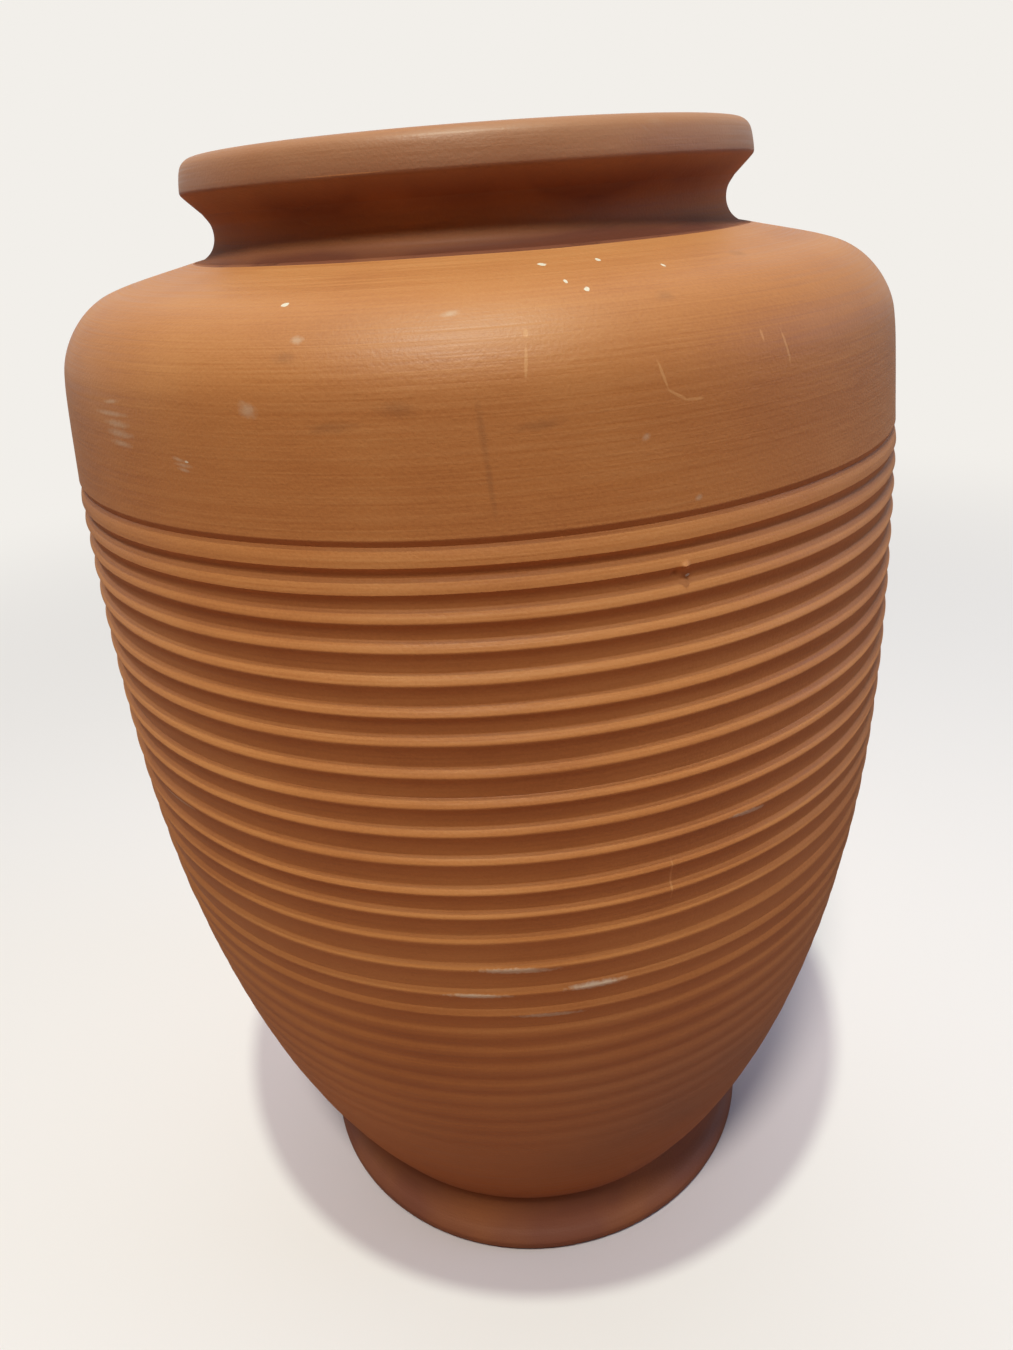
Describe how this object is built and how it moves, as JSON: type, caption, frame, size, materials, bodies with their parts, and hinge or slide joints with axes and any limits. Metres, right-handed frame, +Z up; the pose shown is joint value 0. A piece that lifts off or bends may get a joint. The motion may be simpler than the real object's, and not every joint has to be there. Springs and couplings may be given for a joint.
{
  "type": "pithos",
  "caption": "Tall ribbed terracotta floor pithos: flared foot, swelling turned wall, smooth round shoulder, short hollowed neck and rolled rim, open at the mouth.",
  "frame": {"origin": "centre of the resting face under the foot ring, on the axis of the pot", "axes": "+Z up along the axis that the pot was turned about; the pot is round, and the side that the picture shows faces -Y, with +X to its right"},
  "size_m": [0.3413, 0.3414, 0.4999],
  "materials": {
    "terracotta": "unglazed matt earthenware with fine turning lines and a little pale wear"
  },
  "bodies": {
    "root": {"foot_ring": "terracotta", "floor_disc": "terracotta", "lower_wall": "terracotta", "belly_wall": "terracotta", "upper_wall": "terracotta", "shoulder": "terracotta", "neck": "terracotta", "rim": "terracotta"}
  },
  "joints": []
}
